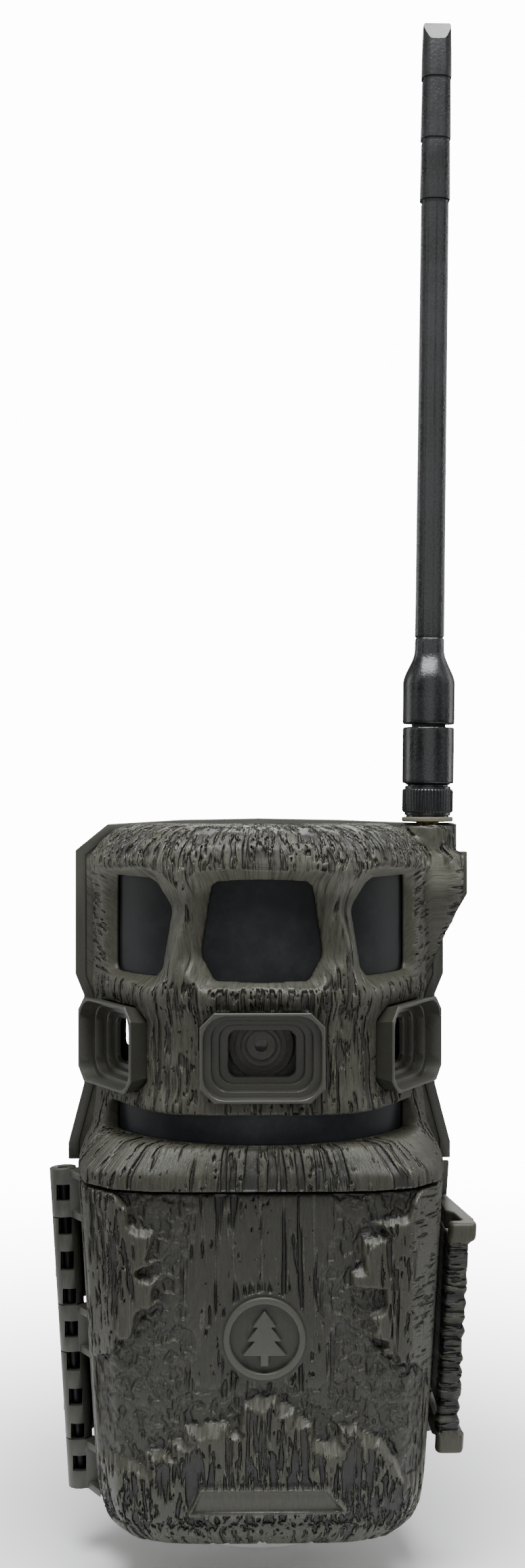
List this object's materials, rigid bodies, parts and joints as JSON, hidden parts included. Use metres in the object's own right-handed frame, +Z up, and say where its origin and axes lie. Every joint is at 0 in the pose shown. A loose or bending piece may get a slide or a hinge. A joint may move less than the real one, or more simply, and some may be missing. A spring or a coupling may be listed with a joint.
{
  "type": "trail camera",
  "caption": "Six-way cellular trail camera: revolving lens turret behind stepped hoods, infrared and motion windows, side-hinged battery door with lever latch, fold-back antenna.",
  "frame": {"origin": "where the turret's axis meets the flat base", "axes": "+Z up along the turret's axis, -Y out of the front lens hood, +X towards the antenna and the latch"},
  "size_m": [0.1149, 0.1025, 0.4066],
  "materials": {
    "bark_shell": "matt, camouflage pattern",
    "olive_plastic": "satin",
    "black_plastic": "satin",
    "smoked_plastic": "polished",
    "clear_glass": "polished",
    "soft_rubber": "matt",
    "circuit_board": "solder mask",
    "steel": "brushed",
    "brass": "machined",
    "gear_plastic": "moulded",
    "cell_jacket": "printed sleeve"
  },
  "bodies": {
    "housing": {"head_front_shell": "bark_shell", "head_rear_shell": "bark_shell", "hood_front": "olive_plastic", "hood_front_right": "olive_plastic", "hood_rear_right": "olive_plastic", "hood_rear": "olive_plastic", "hood_rear_left": "olive_plastic", "hood_front_left": "olive_plastic", "lens_window_ring": "clear_glass", "ir_window_front": "smoked_plastic", "ir_window_rear": "smoked_plastic", "pir_window_front": "smoked_plastic", "pir_window_rear": "smoked_plastic", "ir_led_drum": "circuit_board", "pir_sensor_ring": "circuit_board", "head_floor_plate": "black_plastic", "stepper_motor": "steel", "wiring_post": "black_plastic", "antenna_coax": "soft_rubber", "sma_connector": "brass", "antenna_seal_ring": "olive_plastic", "hinge_pin": "steel", "rear_cover": "bark_shell", "tripod_insert": "brass", "lower_tub": "black_plastic", "battery_tray": "black_plastic", "battery_cell_1": "cell_jacket", "battery_cell_2": "cell_jacket", "battery_cell_3": "cell_jacket", "battery_cell_4": "cell_jacket", "battery_cell_5": "cell_jacket", "battery_cell_6": "cell_jacket", "battery_cell_7": "cell_jacket", "battery_cell_8": "cell_jacket", "control_panel": "black_plastic", "status_display": "smoked_plastic", "memory_card": "black_plastic", "main_board": "circuit_board", "latch_pin": "steel", "cover_screw_1": "steel", "cover_screw_2": "steel", "cover_screw_3": "steel", "cover_screw_4": "steel"},
    "door": {"battery_door": "bark_shell", "door_gasket": "soft_rubber"},
    "latch": {"latch_lever": "bark_shell", "latch_hook": "steel"},
    "turret": {"turret_drum": "black_plastic", "lens_barrel": "black_plastic", "lens_front_element": "clear_glass", "image_sensor_board": "circuit_board", "turret_gear": "gear_plastic"},
    "drive_pinion": {"motor_pinion": "brass"},
    "antenna_nut": {"antenna_nut": "black_plastic"},
    "antenna_base": {"antenna_lower_barrel": "black_plastic", "antenna_fold_pin": "steel"},
    "antenna_arm": {"antenna_upper_barrel": "black_plastic", "antenna_mast": "black_plastic"},
    "power_switch": {"power_switch": "olive_plastic"},
    "setup_button": {"setup_button": "olive_plastic"}
  },
  "joints": [
    {"name": "door_hinge", "type": "hinge", "parent": "housing", "child": "door", "pos_m": [-0.05385, -0.0063, 0.091], "axis": [0.0606, 0, -0.9982], "range_deg": [0, 115]},
    {"name": "latch_pivot", "type": "hinge", "parent": "housing", "child": "latch", "pos_m": [0.04854, 0.003, 0.05], "axis": [0.0614, 0, 0.9981], "range_deg": [0, 100]},
    {"name": "turret_spin", "type": "hinge", "parent": "housing", "child": "turret", "pos_m": [0, 0, 0.127], "axis": [0, 0, 1], "range_deg": [-180, 180]},
    {"name": "pinion_spin", "type": "hinge", "parent": "housing", "child": "drive_pinion", "pos_m": [0.012, 0.02079, 0.1088], "axis": [0, 0, 1], "range_deg": [-540, 540]},
    {"name": "antenna_nut_spin", "type": "hinge", "parent": "housing", "child": "antenna_nut", "pos_m": [0.04666, 0, 0.19], "axis": [0.0122, 0, 0.9999], "continuous": true},
    {"name": "antenna_swivel", "type": "hinge", "parent": "housing", "child": "antenna_base", "pos_m": [0.04676, 0, 0.198], "axis": [0.0122, 0, 0.9999], "range_deg": [-180, 180]},
    {"name": "antenna_fold", "type": "hinge", "parent": "antenna_base", "child": "antenna_arm", "pos_m": [0.04682, 0, 0.203], "axis": [-0.9999, 0, 0.0122], "range_deg": [0, 90]},
    {"name": "power_slide", "type": "slide", "parent": "housing", "child": "power_switch", "axis": [1, 0, 0], "range_m": [0, 0.005]},
    {"name": "setup_press", "type": "slide", "parent": "housing", "child": "setup_button", "axis": [0, 1, 0], "range_m": [0, 0.0009], "stiffness_N_per_m": 150}
  ],
  "couplings": [
    {"joint": "pinion_spin", "follows": "turret_spin", "ratio": -3}
  ]
}
